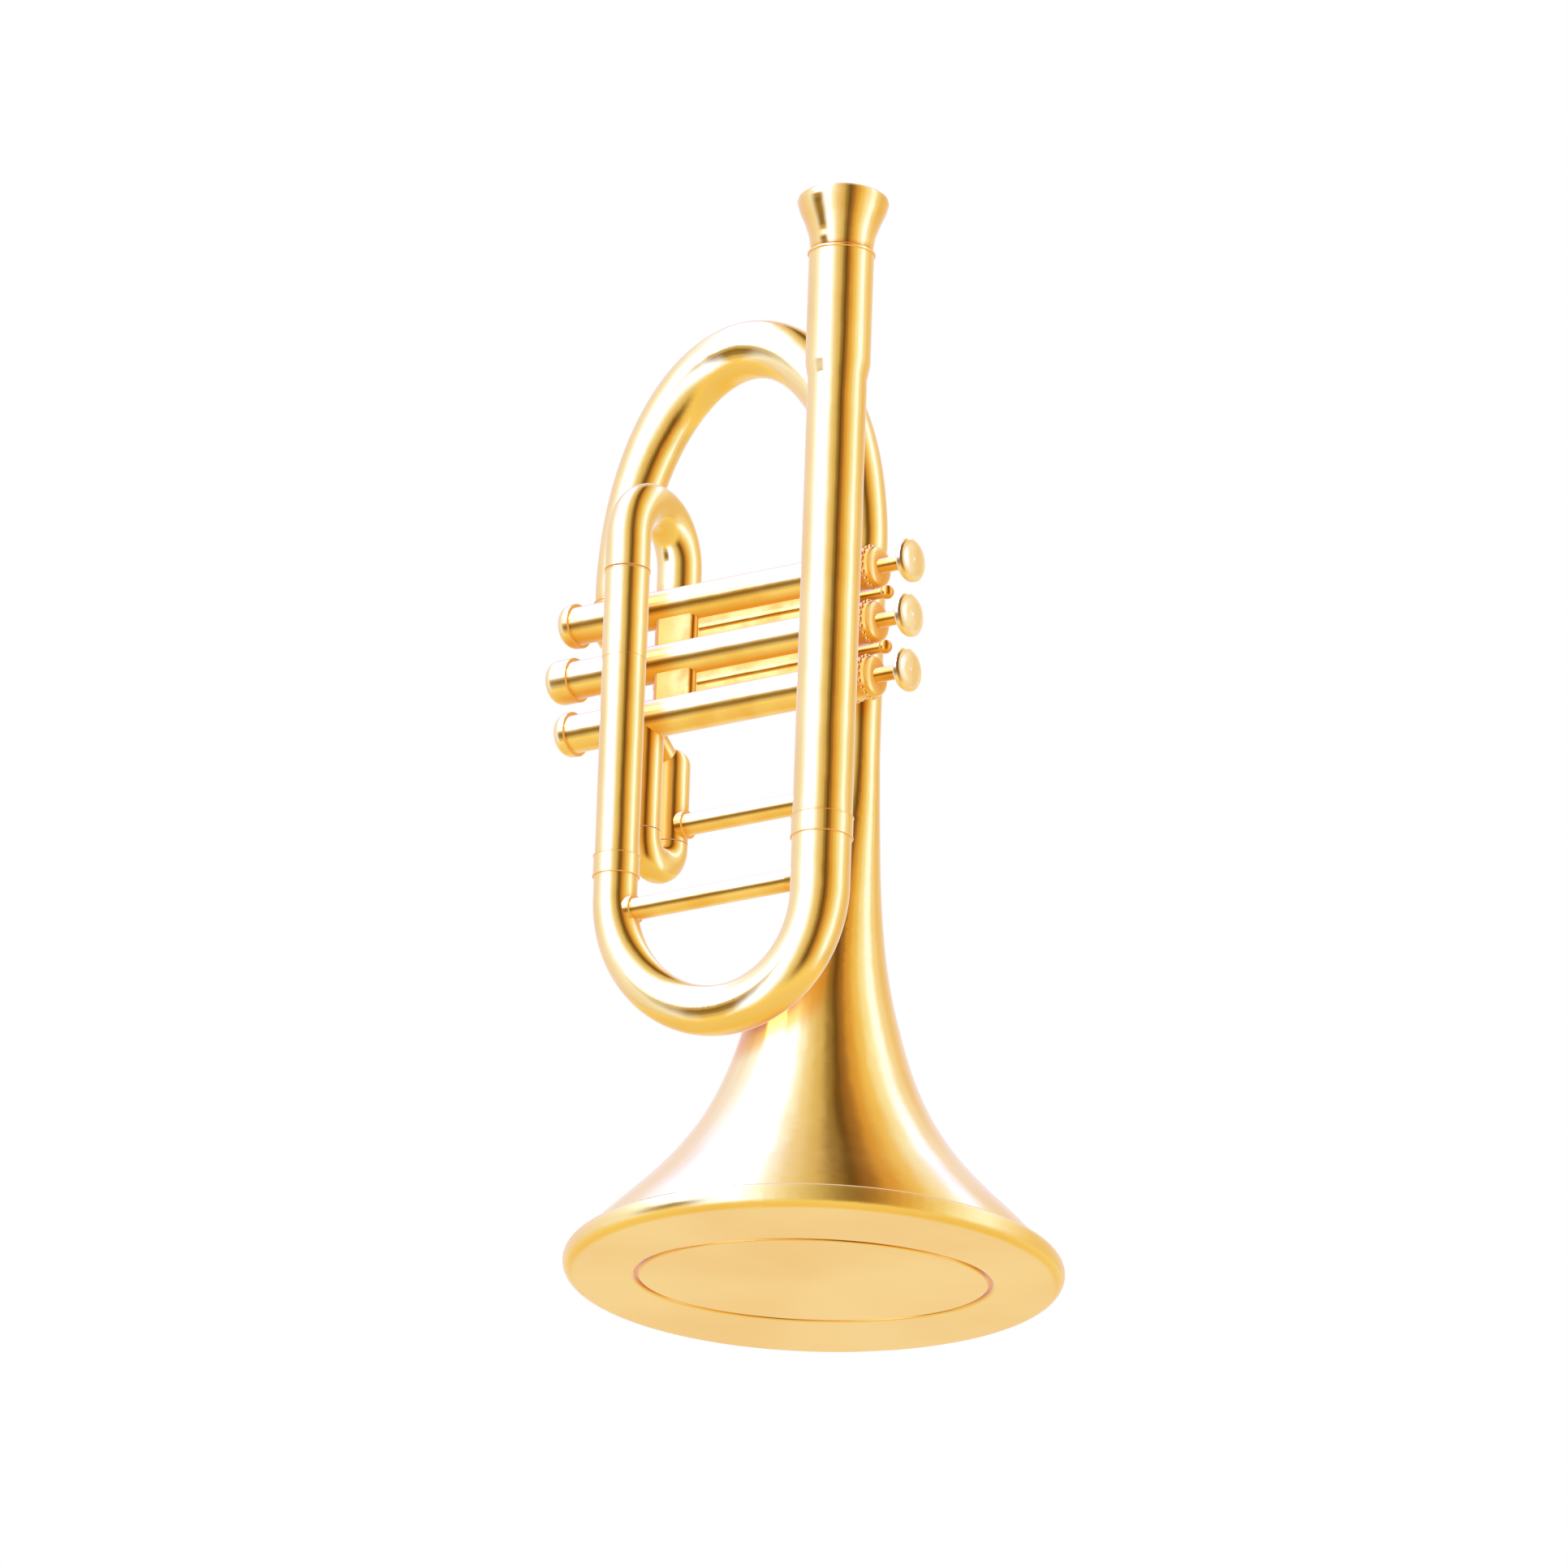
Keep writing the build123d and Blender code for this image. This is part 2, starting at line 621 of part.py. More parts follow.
# the taper is nearly straight over the flange, so the foot is cut with a leaning rod
reach = brace_flange_r + 2
seat_low = (tail_side(upper_brace_z - reach) + stem_r, rear_y, upper_brace_z - reach)
seat_high = (tail_side(upper_brace_z + reach) + stem_r, rear_y, upper_brace_z + reach)
tail_seat = rod(seat_low, seat_high, stem_r + seat_gap)
save("upper_brace", brace(high_x0, high_x1, rear_y, upper_brace_z, [third_tube, tail_seat]))

# ---- mouthpiece ----------------------------------------------------------------------

cup_z0 = mouth_top_z - cup_height
top = mouth_top_z
cup = [(cup_throat_r, cup_z0 - shank_len), (shank_r1, cup_z0 - shank_len), (shank_r0, cup_z0)]
cup.append((receiver_r - 1.0, cup_z0 + 0.3))
cup.append((receiver_r - 0.2, cup_z0 + 2.0))
cup.append((receiver_r + 0.2, cup_z0 + 5.0))
cup.append((receiver_r + 1.5, cup_z0 + 9.0))
cup.append((mouth_r - 0.9, cup_z0 + 13.0))
cup.append((mouth_r - 0.3, top - 3.6))
cup.append((mouth_r, top - 2.4))
cup.append((mouth_r - 0.3, top - 1.2))
cup.append((mouth_r - 1.3, top - 0.3))
cup.append((mouth_r - 2.9, top))
cup.append((cup_rim_inner_r + 1.4, top - 0.4))
cup.append((cup_rim_inner_r, top - 1.8))
cup.append((cup_rim_inner_r - 0.7, top - 5.0))
cup.append((cup_rim_inner_r * 0.70, top - 8.4))
cup.append((cup_throat_r + 1.4, top - cup_depth + 0.9))
cup.append((cup_throat_r, top - cup_depth))
mouthpiece = turned(cup, lead_x, front_y)
backbore = cone(
    (lead_x, front_y, cup_z0 - shank_len - 0.01),
    (lead_x, front_y, cup_z0),
    shank_r1 - 1.1,
    cup_throat_r,
)
save("mouthpiece", one(mouthpiece - backbore))
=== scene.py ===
import math

import bpy
from mathutils import Matrix, Vector


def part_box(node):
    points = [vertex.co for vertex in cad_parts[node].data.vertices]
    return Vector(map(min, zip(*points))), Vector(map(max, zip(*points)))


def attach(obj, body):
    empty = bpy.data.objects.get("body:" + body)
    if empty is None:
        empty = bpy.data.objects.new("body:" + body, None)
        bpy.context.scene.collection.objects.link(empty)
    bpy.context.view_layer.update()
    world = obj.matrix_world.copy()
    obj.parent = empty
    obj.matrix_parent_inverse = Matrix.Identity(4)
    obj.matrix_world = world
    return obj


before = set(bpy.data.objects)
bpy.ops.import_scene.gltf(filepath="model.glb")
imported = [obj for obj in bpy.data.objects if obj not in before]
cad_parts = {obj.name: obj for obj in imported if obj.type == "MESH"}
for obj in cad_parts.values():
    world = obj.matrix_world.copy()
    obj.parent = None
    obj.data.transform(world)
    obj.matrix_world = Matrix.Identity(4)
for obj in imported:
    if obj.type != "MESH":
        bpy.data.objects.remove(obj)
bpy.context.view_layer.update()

# Viewing place: a long lens that looks slightly up at the horn from the button
# side, with the horn leaning a touch to the right in the frame. The frame is a
# square about 0.48 m on a side where the horn stands.
turn = math.radians(35.0)
rise = math.radians(-19.0)
lean = math.radians(2.0)
aim_right = -0.0090
aim_up = 0.1530
frame_side = 0.483
lens_mm = 400.0
sensor_mm = 36.0
sideways = Vector((math.cos(turn), math.sin(turn), 0.0))
outward = Vector((math.sin(turn) * math.cos(rise), -math.cos(turn) * math.cos(rise), math.sin(rise)))
upward = outward.cross(sideways)
frame_right = sideways * math.cos(lean) + upward * math.sin(lean)
frame_up = upward * math.cos(lean) - sideways * math.sin(lean)
aim = frame_right * aim_right + frame_up * aim_up
eye_data = bpy.data.cameras.new("long_lens")
eye_data.lens = lens_mm
eye_data.sensor_width = sensor_mm
eye_data.clip_end = 60.0
eye = bpy.data.objects.new("long_lens", eye_data)
bpy.context.scene.collection.objects.link(eye)
stance = Matrix((frame_right, frame_up, outward)).transposed().to_4x4()
stance.translation = aim + outward * (frame_side * lens_mm / sensor_mm)
eye.matrix_world = stance
bpy.context.scene.camera = eye

# Studio: a white room. Polished metal sees it as tall soft panels with a dark
# gap at the front, and everything else sees plain white light. One large soft
# lamp stands to the front left.
brightest = 8.0
room = bpy.data.worlds.new("white_studio")
bpy.context.scene.world = room
room.use_nodes = True
bpy.context.scene.view_settings.view_transform = "Standard"
room_nodes = room.node_tree.nodes
room_links = room.node_tree.links
room_nodes.clear()


def math_node(nodes, links, kind, *operands):
    """One Math node; each operand is a number or an output socket."""
    node = nodes.new("ShaderNodeMath")
    node.operation = kind
    for place, value in enumerate(operands):
        if isinstance(value, (int, float)):
            node.inputs[place].default_value = value
        else:
            links.new(value, node.inputs[place])
    return node.outputs[0]


def span_node(nodes, links, value, low, high):
    """Smooth 0 to 1 as value runs from low to high."""
    node = nodes.new("ShaderNodeMapRange")
    node.interpolation_type = "SMOOTHSTEP"
    links.new(value, node.inputs["Value"])
    node.inputs["From Min"].default_value = low
    node.inputs["From Max"].default_value = high
    return node.outputs["Result"]


def blend_node(nodes, links, amount, first, second):
    """Mix two colours, each a socket or a tuple, on the Mix node's colour sockets."""
    node = nodes.new("ShaderNodeMix")
    node.data_type = "RGBA"
    links.new(amount, node.inputs[0])
    for place, value in ((6, first), (7, second)):
        if isinstance(value, tuple):
            node.inputs[place].default_value = value
        else:
            links.new(value, node.inputs[place])
    return node.outputs[2]


def dimmed(colour):
    """A room colour as a share of the brightest panel, because a ramp stops at 1."""
    return tuple(part / brightest for part in colour) + (1.0,)


def bearing_at(degrees):
    """Where a bearing, in degrees right of the front, lies on a 0 to 1 ramp."""
    return 0.5 + degrees / 360.0


def panel_ramp(stops):
    """A soft ramp of (place, colour)."""
    node = room_nodes.new("ShaderNodeValToRGB")
    node.color_ramp.interpolation = "EASE"
    marks = node.color_ramp.elements
    while len(marks) > 1:
        marks.remove(marks[-1])
    for number, (place, colour) in enumerate(stops):
        mark = marks[0] if number == 0 else marks.new(place)
        mark.position = place
        mark.color = dimmed(colour)
    return node


def dot_node(first, second):
    """Dot product of a socket with a fixed vector or with another socket."""
    node = room_nodes.new("ShaderNodeVectorMath")
    node.operation = "DOT_PRODUCT"
    room_links.new(first, node.inputs[0])
    if isinstance(second, Vector):
        node.inputs[1].default_value = second
    else:
        room_links.new(second, node.inputs[1])
    return node.outputs["Value"]


# The panels are laid out by where the metal that mirrors them faces: halfway
# between the direction looked in and the fixed front of the room.
halfway = room_nodes.new("ShaderNodeVectorMath")
halfway.operation = "ADD"
room_links.new(room_nodes.new("ShaderNodeTexCoord").outputs["Generated"], halfway.inputs[0])
halfway.inputs[1].default_value = outward
facing = halfway.outputs[0]
right = dot_node(facing, sideways)
ahead = dot_node(facing, Vector((math.sin(turn), -math.cos(turn), 0.0)))
size = math_node(room_nodes, room_links, "SQRT", dot_node(facing, facing))
up = math_node(room_nodes, room_links, "DIVIDE", dot_node(facing, Vector((0.0, 0.0, 1.0))), size)
bearing = math_node(room_nodes, room_links, "ARCTAN2", right, ahead)
bearing = math_node(room_nodes, room_links, "MULTIPLY_ADD", bearing, 1.0 / (2.0 * math.pi), 0.5)
upright = panel_ramp(
    [
        (bearing_at(degrees), colour)
        for degrees, colour in (
            (-180, (0.95, 0.90, 0.95)),
            (-90, (0.98, 0.98, 1.40)),
            (-68, (0.99, 1.02, 1.60)),
            (-54, (1.02, 1.18, 2.10)),
            (-44, (1.15, 1.50, 3.40)),
            (-36, (1.60, 2.40, 8.00)),
            (-18, (1.60, 2.40, 8.00)),
            (-13, (1.15, 1.50, 3.20)),
            (-7, (0.98, 1.00, 1.20)),
            (-1, (0.80, 0.74, 0.60)),
            (5, (0.36, 0.28, 0.16)),
            (9, (0.16, 0.10, 0.04)),
            (13, (0.36, 0.20, 0.09)),
            (19, (0.78, 0.50, 0.18)),
            (26, (0.98, 0.84, 0.48)),
            (33, (1.08, 1.25, 1.70)),
            (42, (1.30, 1.90, 4.80)),
            (50, (1.05, 1.12, 1.40)),
            (60, (0.95, 0.84, 0.70)),
            (74, (0.95, 0.86, 0.80)),
            (90, (0.98, 0.98, 1.30)),
            (180, (0.95, 0.90, 0.95)),
        )
    ]
)
room_links.new(bearing, upright.inputs["Fac"])
level = panel_ramp(
    [
        (0.5 + 0.5 * math.sin(math.radians(tilt)), colour)
        for tilt, colour in (
            (-90, (1.00, 0.97, 0.92)),
            (-68, (1.00, 0.84, 0.45)),
            (-52, (0.98, 0.90, 0.66)),
            (-37, (1.08, 1.00, 0.62)),
            (-29, (0.72, 0.68, 0.60)),
            (-23, (0.38, 0.29, 0.15)),
            (-17, (0.30, 0.22, 0.09)),
            (-12, (0.66, 0.60, 0.52)),
            (-5, (1.02, 1.10, 1.60)),
        )
    ]
)
room_links.new(math_node(room_nodes, room_links, "MULTIPLY_ADD", up, 0.5, 0.5), level.inputs["Fac"])
# Level tubes show a dark line under their middle on the left of the room only,
# and faces that look down see the plain pale ground.
left_side = span_node(room_nodes, room_links, bearing, bearing_at(-22), bearing_at(-33))
past_left = span_node(room_nodes, room_links, bearing, bearing_at(-50), bearing_at(-38))
left_side = math_node(room_nodes, room_links, "MULTIPLY", left_side, past_left)
below_level = span_node(room_nodes, room_links, up, -0.07, -0.19)
left_low = math_node(room_nodes, room_links, "MULTIPLY", left_side, below_level)
ground = span_node(room_nodes, room_links, up, -0.45, -0.68)
low = math_node(room_nodes, room_links, "MAXIMUM", left_low, ground)
pattern = blend_node(room_nodes, room_links, low, upright.outputs[0], level.outputs[0])
ceiling = span_node(room_nodes, room_links, up, 0.70, 0.88)
pattern = blend_node(room_nodes, room_links, ceiling, pattern, dimmed((0.98, 0.88, 0.80)))
# Metal seen edge-on mirrors the plain wall behind the horn.
face_on = span_node(room_nodes, room_links, size, 0.25, 0.75)
pattern = blend_node(room_nodes, room_links, face_on, dimmed((0.98, 0.93, 1.05)), pattern)
ray = room_nodes.new("ShaderNodeLightPath")
plain_white = dimmed((1.0, 1.0, 1.0))
pattern = blend_node(room_nodes, room_links, ray.outputs["Is Glossy Ray"], plain_white, pattern)
glow = room_nodes.new("ShaderNodeBackground")
glow.inputs["Strength"].default_value = brightest
room_links.new(pattern, glow.inputs["Color"])
room_links.new(glow.outputs[0], room_nodes.new("ShaderNodeOutputWorld").inputs["Surface"])

lamp_place = (-1.1, -1.2, 1.5)
lamp_target = Vector((0, 0, 0.15))
soft_box = bpy.data.lights.new("soft_box", "AREA")
soft_box.shape = "DISK"
soft_box.size = 0.9
soft_box.energy = 14.0
lamp = bpy.data.objects.new("soft_box", soft_box)
bpy.context.scene.collection.objects.link(lamp)
lamp.location = lamp_place
lamp.rotation_euler = (lamp_target - lamp.location).to_track_quat("-Z", "Y").to_euler()

# Floor: a plain pale sheet a hair under the bell rim, so that the two flat faces
# don't share a plane. It shows from above only, and polished metal doesn't see
# it, so the underside of the rim stays bright.
floor_reach = 6.0
floor_gap = 0.0003
corners = [(x * floor_reach, y * floor_reach, -floor_gap) for x, y in ((-1, -1), (1, -1), (1, 1), (-1, 1))]
sheet_mesh = bpy.data.meshes.new("pale_floor")
sheet_mesh.from_pydata(corners, [], [(0, 1, 2, 3)])
floor = bpy.data.objects.new("pale_floor", sheet_mesh)
bpy.context.scene.collection.objects.link(floor)
floor_paint = bpy.data.materials.new("pale_floor")
floor_paint.use_nodes = True
nodes, links = floor_paint.node_tree.nodes, floor_paint.node_tree.links
nodes.clear()
chalk = nodes.new("ShaderNodeBsdfDiffuse")
chalk.inputs["Color"].default_value = (0.93, 0.93, 0.93, 1.0)
clear = nodes.new("ShaderNodeBsdfTransparent")
seen = nodes.new("ShaderNodeLightPath")
face = nodes.new("ShaderNodeNewGeometry")
front = math_node(nodes, links, "SUBTRACT", 1.0, face.outputs["Backfacing"])
shown = math_node(nodes, links, "MULTIPLY", front, seen.outputs["Is Camera Ray"])
both = nodes.new("ShaderNodeMixShader")
links.new(shown, both.inputs[0])
links.new(clear.outputs[0], both.inputs[1])
links.new(chalk.outputs[0], both.inputs[2])
links.new(both.outputs[0], nodes.new("ShaderNodeOutputMaterial").inputs["Surface"])
sheet_mesh.materials.append(floor_paint)
floor.visible_shadow = False

# Bell: a spun brass flare, its drawn tail, the rolled rim that it stands on and
# a plate with a raised oval across the mouth. They are soldered, plated with
# thick warm gold and buffed by hand, the rim and plate to a satin.


def new_group(name, inputs, outputs):
    """An empty shader node group with named sockets."""
    group = bpy.data.node_groups.new(name, "ShaderNodeTree")
    for label, kind, value in inputs:
        socket = group.interface.new_socket(name=label, in_out="INPUT", socket_type=kind)
        socket.default_value = value
    for label, kind in outputs:
        group.interface.new_socket(name=label, in_out="OUTPUT", socket_type=kind)
    return group, group.nodes.new("NodeGroupInput"), group.nodes.new("NodeGroupOutput")


def cloud(group, cells, detail):
    """Noise on Object coordinates at a given number of cells per metre."""
    node = group.nodes.new("ShaderNodeTexNoise")
    group.links.new(group.nodes.new("ShaderNodeTexCoord").outputs["Object"], node.inputs["Vector"])
    group.links.new(cells, node.inputs["Scale"])
    node.inputs["Detail"].default_value = detail
    return node.outputs["Fac"]


# The plating's tone drifts a little over the skin.
colour_kind, value_kind, vector_kind = "NodeSocketColor", "NodeSocketFloat", "NodeSocketVector"
plating_tone, tone_in, tone_out = new_group(
    "plating_tone",
    [
        ("Bright", colour_kind, (0.92, 0.62, 0.18, 1)),
        ("Deep", colour_kind, (0.88, 0.56, 0.14, 1)),
        ("Cells", value_kind, 22.0),
    ],
    [("Color", colour_kind)],
)
drift = cloud(plating_tone, tone_in.outputs["Cells"], 3.0)
drift = span_node(plating_tone.nodes, plating_tone.links, drift, 0.35, 0.70)
tone = blend_node(
    plating_tone.nodes, plating_tone.links, drift, tone_in.outputs["Bright"], tone_in.outputs["Deep"]
)
plating_tone.links.new(tone, tone_out.inputs["Color"])

# Buffing leaves a faint swell, a fine grain and patches that are slightly duller.
hand_buffing, buff_in, buff_out = new_group(
    "hand_buffing",
    [
        ("Gloss", value_kind, 0.05),
        ("Dull", value_kind, 0.11),
        ("Swell Cells", value_kind, 55.0),
        ("Swell", value_kind, 0.30),
        ("Grain Cells", value_kind, 1600.0),
        ("Grain", value_kind, 0.03),
    ],
    [("Roughness", value_kind), ("Normal", vector_kind)],
)
swell_height = 0.001
grain_height = 0.0001
patch = cloud(hand_buffing, buff_in.outputs["Swell Cells"], 2.0)
rough = hand_buffing.nodes.new("ShaderNodeMapRange")
hand_buffing.links.new(patch, rough.inputs["Value"])
rough.inputs["From Min"].default_value = 0.3
rough.inputs["From Max"].default_value = 0.7
hand_buffing.links.new(buff_in.outputs["Gloss"], rough.inputs["To Min"])
hand_buffing.links.new(buff_in.outputs["Dull"], rough.inputs["To Max"])
hand_buffing.links.new(rough.outputs["Result"], buff_out.inputs["Roughness"])
swell = hand_buffing.nodes.new("ShaderNodeBump")
swell.inputs["Distance"].default_value = swell_height
hand_buffing.links.new(patch, swell.inputs["Height"])
hand_buffing.links.new(buff_in.outputs["Swell"], swell.inputs["Strength"])
grain = hand_buffing.nodes.new("ShaderNodeBump")
grain.inputs["Distance"].default_value = grain_height
hand_buffing.links.new(cloud(hand_buffing, buff_in.outputs["Grain Cells"], 2.0), grain.inputs["Height"])
hand_buffing.links.new(buff_in.outputs["Grain"], grain.inputs["Strength"])
hand_buffing.links.new(swell.outputs["Normal"], grain.inputs["Normal"])
hand_buffing.links.new(grain.outputs["Normal"], buff_out.inputs["Normal"])

# Painted shade: where surfaces close in on each other, occlusion darkens the gold's base colour
# to amber and then umber. This stands in for shade and gold-on-gold bounce light in crevices.
crevice, deep_in, deep_out = new_group(
    "crevice_painted_shade",
    [
        ("Skin", colour_kind, (0.92, 0.62, 0.18, 1)),
        ("Amber", colour_kind, (0.84, 0.34, 0.03, 1)),
        ("Umber", colour_kind, (0.50, 0.12, 0.012, 1)),
        ("Reach", value_kind, 0.011),
    ],
    [("Color", colour_kind)],
)
# Painted shade: the occlusion mask within the reach darkens the base colour below.
openness = crevice.nodes.new("ShaderNodeAmbientOcclusion")
openness.samples = 8
crevice.links.new(deep_in.outputs["Reach"], openness.inputs["Distance"])
shaded_skin = deep_in.outputs["Skin"]
for label, half_open, shut in (("Amber", 0.92, 0.56), ("Umber", 0.50, 0.12)):
    shade = span_node(crevice.nodes, crevice.links, openness.outputs["AO"], half_open, shut)
    shaded_skin = blend_node(crevice.nodes, crevice.links, shade, shaded_skin, deep_in.outputs[label])
crevice.links.new(shaded_skin, deep_out.inputs["Color"])


def finish_of(name, metallic=1.0, tone=None, buff=None):
    """A finish built from the tone, painted crevice shade and buffing groups."""
    material = bpy.data.materials.new(name)
    material.use_nodes = True
    tree = material.node_tree
    shader = tree.nodes["Principled BSDF"]
    shader.inputs["Metallic"].default_value = metallic
    placed = []
    for group, settings in ((plating_tone, tone), (crevice, None), (hand_buffing, buff)):
        node = tree.nodes.new("ShaderNodeGroup")
        node.node_tree = group
        for label, value in (settings or {}).items():
            node.inputs[label].default_value = value
        placed.append(node)
    tone_node, crevice_node, buff_node = placed
    tree.links.new(tone_node.outputs["Color"], crevice_node.inputs["Skin"])
    # The base colour carries the painted crevice shade.
    tree.links.new(crevice_node.outputs["Color"], shader.inputs["Base Color"])
    tree.links.new(buff_node.outputs["Roughness"], shader.inputs["Roughness"])
    tree.links.new(buff_node.outputs["Normal"], shader.inputs["Normal"])
    return material


# The skin of a drawn or turned piece: even and unfaceted, with its real edges sharp.
same_point = 0.000004
crease_turn = math.radians(28.0)
skin_tree = bpy.data.node_groups.new("drawn_skin", "GeometryNodeTree")
skin_tree.interface.new_socket(name="Geometry", in_out="INPUT", socket_type="NodeSocketGeometry")
join_gap = skin_tree.interface.new_socket(name="Join Gap", in_out="INPUT", socket_type="NodeSocketFloat")
crease = skin_tree.interface.new_socket(name="Crease", in_out="INPUT", socket_type="NodeSocketFloat")
skin_tree.interface.new_socket(name="Geometry", in_out="OUTPUT", socket_type="NodeSocketGeometry")
start = skin_tree.nodes.new("NodeGroupInput")
end = skin_tree.nodes.new("NodeGroupOutput")
join = skin_tree.nodes.new("GeometryNodeMergeByDistance")
edge_turn = skin_tree.nodes.new("GeometryNodeInputMeshEdgeAngle")
soft = skin_tree.nodes.new("FunctionNodeCompare")
soft.operation = "LESS_THAN"
round_faces = skin_tree.nodes.new("GeometryNodeSetShadeSmooth")
round_faces.inputs["Shade Smooth"].default_value = True
soft_edges = skin_tree.nodes.new("GeometryNodeSetShadeSmooth")
soft_edges.domain = "EDGE"
skin_tree.links.new(start.outputs["Geometry"], join.inputs["Geometry"])
skin_tree.links.new(start.outputs["Join Gap"], join.inputs["Distance"])
skin_tree.links.new(join.outputs["Geometry"], round_faces.inputs["Geometry"])
skin_tree.links.new(round_faces.outputs["Geometry"], soft_edges.inputs["Geometry"])
skin_tree.links.new(edge_turn.outputs["Unsigned Angle"], soft.inputs[0])
skin_tree.links.new(start.outputs["Crease"], soft.inputs[1])
skin_tree.links.new(soft.outputs[0], soft_edges.inputs["Shade Smooth"])
skin_tree.links.new(soft_edges.outputs["Geometry"], end.inputs["Geometry"])


def dress(names, material):
    """Give CAD pieces their finish and skin. Pieces mirror the room, not each other."""
    for name in names:
        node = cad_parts[name]
        node.data.materials.clear()
        node.data.materials.append(material)
        node.visible_glossy = False
        skin = node.modifiers.new("drawn_skin", "NODES")
        skin.node_group = skin_tree
        skin[join_gap.identifier] = same_point
        skin[crease.identifier] = crease_turn


gilt_bell = finish_of("spun_gilt", buff={"Gloss": 0.07, "Dull": 0.13, "Swell Cells": 40.0, "Swell": 0.16})
gilt_plate = finish_of(
    "satin_gilt",
    tone={"Bright": (0.92, 0.63, 0.170, 1), "Deep": (0.88, 0.56, 0.130, 1), "Cells": 14.0},
    buff={"Gloss": 0.20, "Dull": 0.30, "Swell Cells": 18.0, "Swell": 0.10},
)
mouth_pieces = ["bell_rim_ring", "bell_mouth_plate"]
dress(["bell_flare", "bell_tail"], gilt_bell)
dress(mouth_pieces, gilt_plate)
for name in mouth_pieces:
    true_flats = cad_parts[name].modifiers.new("true_flats", "WEIGHTED_NORMAL")
    true_flats.keep_sharp = True
    true_flats.weight = 100

# Bell bow: the fat tube over the top, its two collars and the ball elbow that
# turns it into the first casing. Bent brass tube, soldered into the collars and
# gilt like the rest.
gilt = finish_of("buffed_gilt")
dress(["bell_bow", "bell_knuckle", "bell_bow_ferrule_stem", "bell_bow_ferrule_valve"], gilt)

# Leadpipe, its receiver, and the main bow that carries the air round to the
# return pipe on the far side. Plain drawn brass tube, gilt, soldered into thin
# collars.
dress(["leadpipe", "mouthpiece_receiver", "main_bow", "return_pipe"], gilt)
dress(["main_bow_ferrule_lead", "main_bow_ferrule_return"], gilt)

# Tuning slide: the small gilt brass crook at the top left, which pulls out of its
# two sleeves, and the elbow soldered under the rear sleeve.
dress(["tuning_crook", "tuning_sleeve_front", "tuning_sleeve_rear", "feed_elbow"], gilt)

# Third valve slide: a short gilt brass crook that hangs below the casings and
# pulls down out of its two sleeves.
dress(["third_valve_crook", "third_sleeve_front", "third_sleeve_rear", "third_elbow"], gilt)

# Valves: three brass casings side by side with thin ribs soldered between them
# and screwed caps. In each a steel piston stands on its spring, and carries a
# stem, a felt and a dished finger button. The ribs and stems sit in the gaps and
# are painted a deep amber gold: painted shade and warm bounce light between the
# casings and under the buttons.
gilt_small = finish_of(
    "bright_gilt",
    tone={"Bright": (0.94, 0.64, 0.20, 1), "Deep": (0.88, 0.52, 0.11, 1), "Cells": 60.0},
    buff={"Gloss": 0.08, "Dull": 0.16, "Swell Cells": 90.0, "Swell": 0.16},
)
gilt_pale = finish_of(
    "pale_gilt",
    tone={"Bright": (0.95, 0.72, 0.34, 1), "Deep": (0.92, 0.64, 0.24, 1), "Cells": 120.0},
    buff={"Gloss": 0.10, "Dull": 0.20, "Swell Cells": 160.0, "Swell": 0.15},
)
# Painted shade: a deep amber base colour for the stems and webs. It stands in for the shade and warm
# bounce light in the gaps they sit in.
gilt_gap_shade = finish_of(
    "amber_gap_shade_gilt",
    tone={"Bright": (0.90, 0.46, 0.07, 1), "Deep": (0.72, 0.26, 0.025, 1), "Cells": 140.0},
    buff={"Gloss": 0.10, "Dull": 0.22, "Swell Cells": 160.0, "Swell": 0.15},
)
steel = finish_of(
    "lapped_steel",
    tone={"Bright": (0.72, 0.71, 0.68, 1), "Deep": (0.60, 0.59, 0.56, 1), "Cells": 90.0},
    buff={"Gloss": 0.22, "Dull": 0.34, "Swell Cells": 200.0, "Swell": 0.2, "Grain": 0.10},
)
felt = finish_of(
    "pressed_felt",
    metallic=0.0,
    tone={"Bright": (0.62, 0.45, 0.20, 1), "Deep": (0.42, 0.29, 0.12, 1), "Cells": 900.0},
    buff={"Gloss": 0.85, "Dull": 0.97, "Swell Cells": 900.0, "Swell": 0.8, "Grain": 0.6},
)
valve_numbers = ("1", "2", "3")
for number in valve_numbers:
    dress(["valve_casing_" + number, "bottom_cap_" + number, "top_cap_" + number], gilt_small)
    dress(["valve_stem_" + number], gilt_gap_shade)
    dress(["finger_button_" + number, "button_inlay_" + number], gilt_pale)
    dress(["valve_piston_" + number, "valve_spring_" + number], steel)
    dress(["button_felt_" + number], felt)
dress(["casing_web_1", "casing_web_2"], gilt_gap_shade)

# Beading on the top caps: two rings of small half-sunk balls, cast in one with
# the brass wall of each cap and gilt with it, so that wet fingers can turn it.
bead_count = 18
bead_radius = 0.0009
bead_sink = 0.0001
first_row = 0.0024
row_gap = 0.0058
bead_tree = bpy.data.node_groups.new("cap_beading", "GeometryNodeTree")
bead_sizes = {}
for label, kind in (
    ("Beads", "NodeSocketInt"),
    ("Ring Radius", "NodeSocketFloat"),
    ("Bead Radius", "NodeSocketFloat"),
    ("Row Gap", "NodeSocketFloat"),
    ("Centre", "NodeSocketVector"),
    ("Finish", "NodeSocketMaterial"),
):
    given_size = bead_tree.interface.new_socket(name=label, in_out="INPUT", socket_type=kind)
    bead_sizes[label] = given_size.identifier
bead_tree.interface.new_socket(name="Geometry", in_out="OUTPUT", socket_type="NodeSocketGeometry")


def bead_node(kind, **links_in):
    """A node of the beading tree with its inputs linked or set."""
    node = bead_tree.nodes.new(kind)
    for label, value in links_in.items():
        socket = node.inputs[label.replace("_", " ")]
        if isinstance(value, bpy.types.NodeSocket):
            bead_tree.links.new(value, socket)
        else:
            socket.default_value = value
    return node


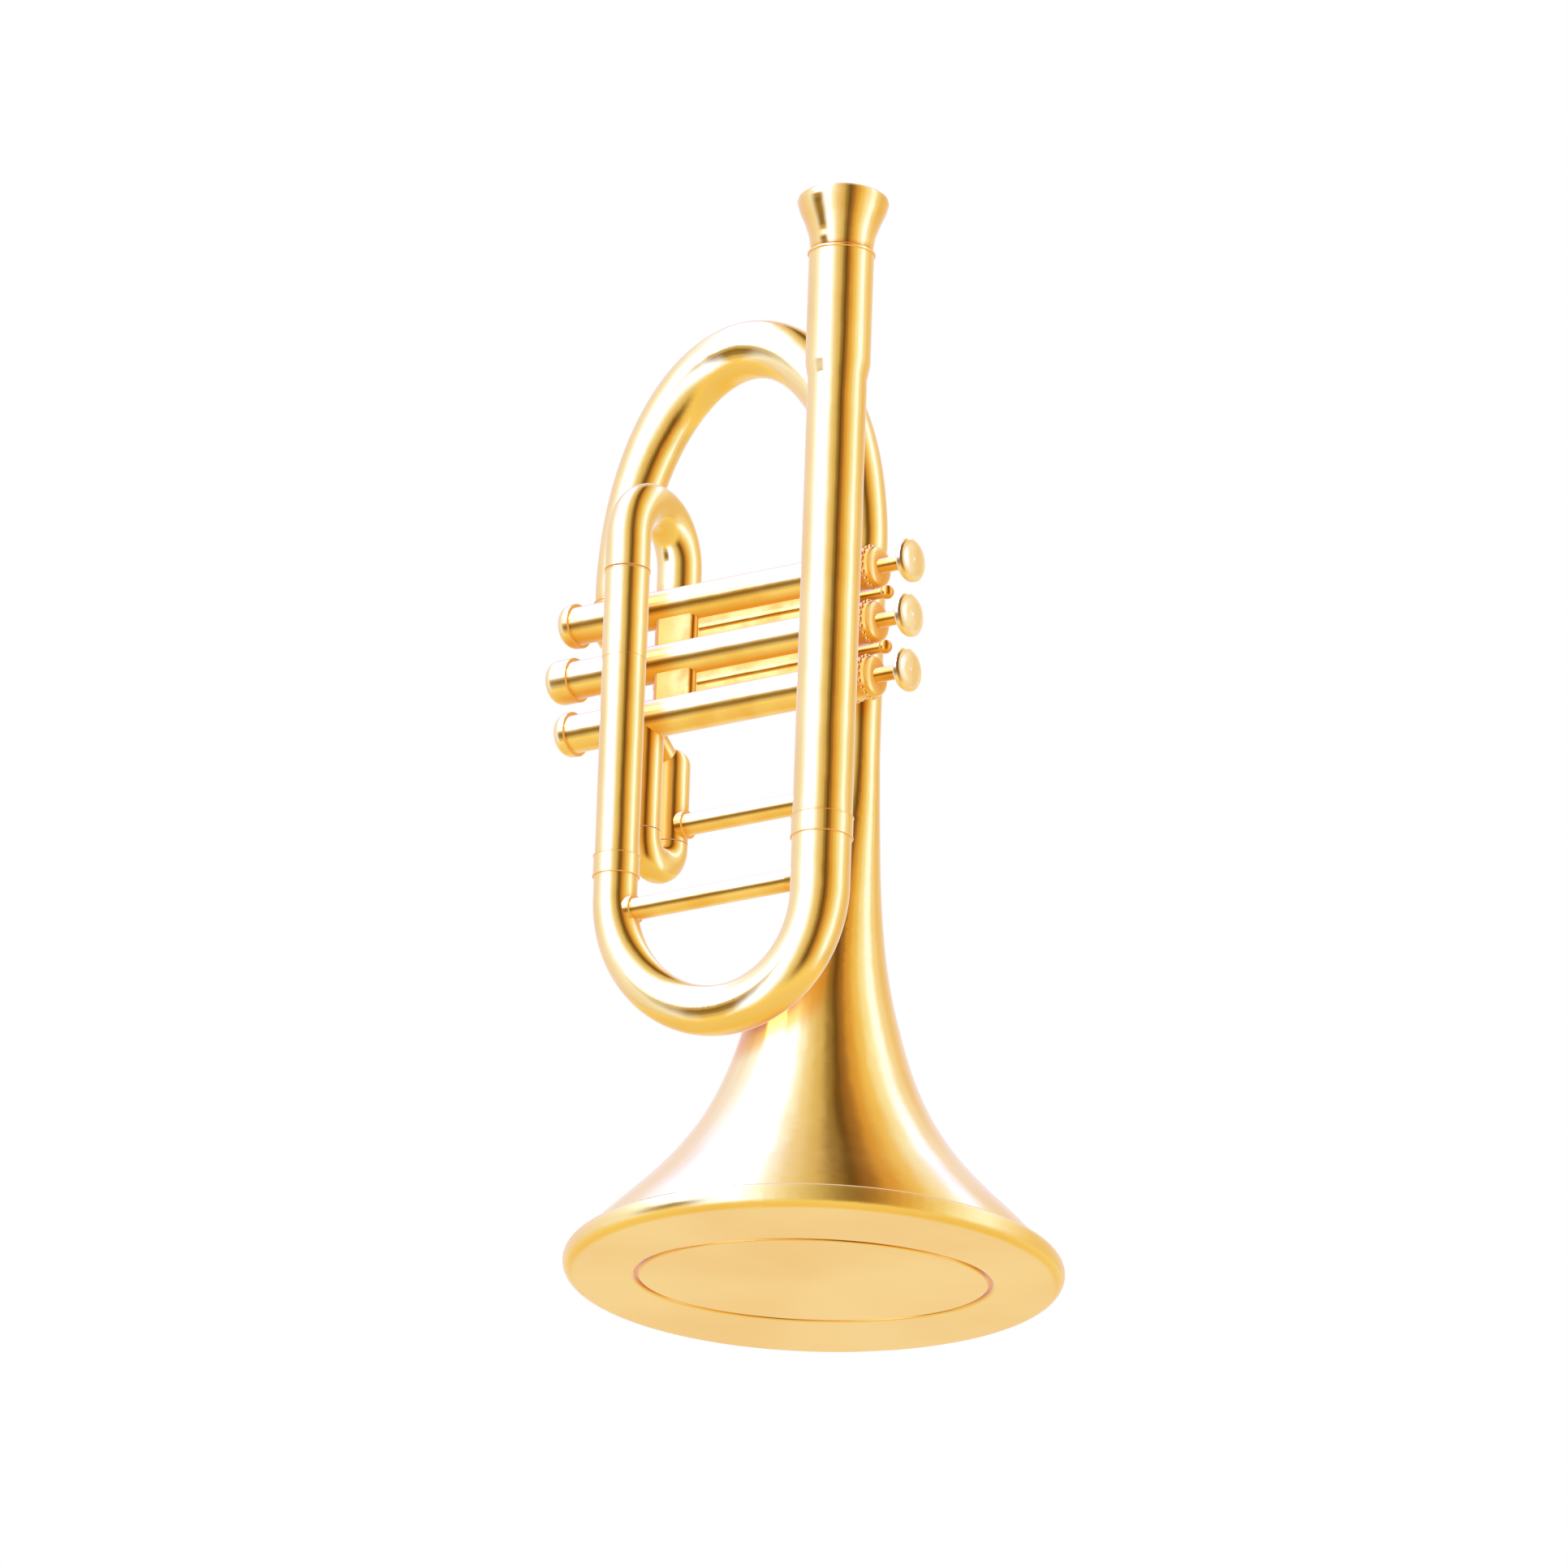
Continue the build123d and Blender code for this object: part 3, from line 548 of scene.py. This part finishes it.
given = bead_tree.nodes.new("NodeGroupInput").outputs
row = bead_node("GeometryNodeMeshCircle", Vertices=given["Beads"], Radius=given["Ring Radius"])
row = bead_node("GeometryNodeTransform", Geometry=row.outputs[0], Rotation=(0.0, math.pi / 2, 0.0))
step = bead_node("ShaderNodeCombineXYZ", X=given["Row Gap"])
second = bead_node("GeometryNodeTransform", Geometry=row.outputs[0], Translation=step.outputs[0])
rows = bead_tree.nodes.new("GeometryNodeJoinGeometry")
bead_tree.links.new(row.outputs[0], rows.inputs[0])
bead_tree.links.new(second.outputs[0], rows.inputs[0])
placed_rows = bead_node("GeometryNodeTransform", Geometry=rows.outputs[0], Translation=given["Centre"])
ball = bead_node("GeometryNodeMeshIcoSphere", Radius=given["Bead Radius"], Subdivisions=3)
balls = bead_node("GeometryNodeInstanceOnPoints", Points=placed_rows.outputs[0], Instance=ball.outputs[0])
solid = bead_node("GeometryNodeRealizeInstances", Geometry=balls.outputs[0])
smooth = bead_node("GeometryNodeSetShadeSmooth", Geometry=solid.outputs[0])
coated = bead_node("GeometryNodeSetMaterial", Geometry=smooth.outputs[0], Material=given["Finish"])
bead_tree.links.new(coated.outputs[0], bead_tree.nodes.new("NodeGroupOutput").inputs[0])

for number in valve_numbers:
    cap_low, cap_high = (Vector(corner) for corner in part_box("top_cap_" + number))
    middle = (cap_low + cap_high) / 2
    maker = bpy.data.objects.new("beading_maker", bpy.data.meshes.new("beading_maker"))
    bpy.context.scene.collection.objects.link(maker)
    beading = maker.modifiers.new("cap_beading", "NODES")
    beading.node_group = bead_tree
    for label, value in (
        ("Beads", bead_count),
        ("Ring Radius", (cap_high.z - cap_low.z) / 2 - bead_sink),
        ("Bead Radius", bead_radius),
        ("Row Gap", row_gap),
        ("Centre", (cap_low.x + first_row, middle.y, middle.z)),
        ("Finish", gilt_small),
    ):
        beading[bead_sizes[label]] = value
    bpy.context.view_layer.update()
    made = bpy.data.meshes.new_from_object(maker.evaluated_get(bpy.context.evaluated_depsgraph_get()))
    bpy.data.objects.remove(maker)
    beads = bpy.data.objects.new("top_cap_beading_" + number, made)
    bpy.context.scene.collection.objects.link(beads)
    beads.visible_glossy = False
    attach(beads, "horn")

# Stays: two plain round brass braces between the long tubes and two short posts
# beside the valves, gilt, and soldered at each end.
dress(["upper_brace", "lower_brace", "post_leadpipe", "post_bell_stem"], gilt_small)

# Mouthpiece: a gilt brass cup turned in one with its tapered shank, which pulls
# out of the receiver.
dress(["mouthpiece"], gilt_small)
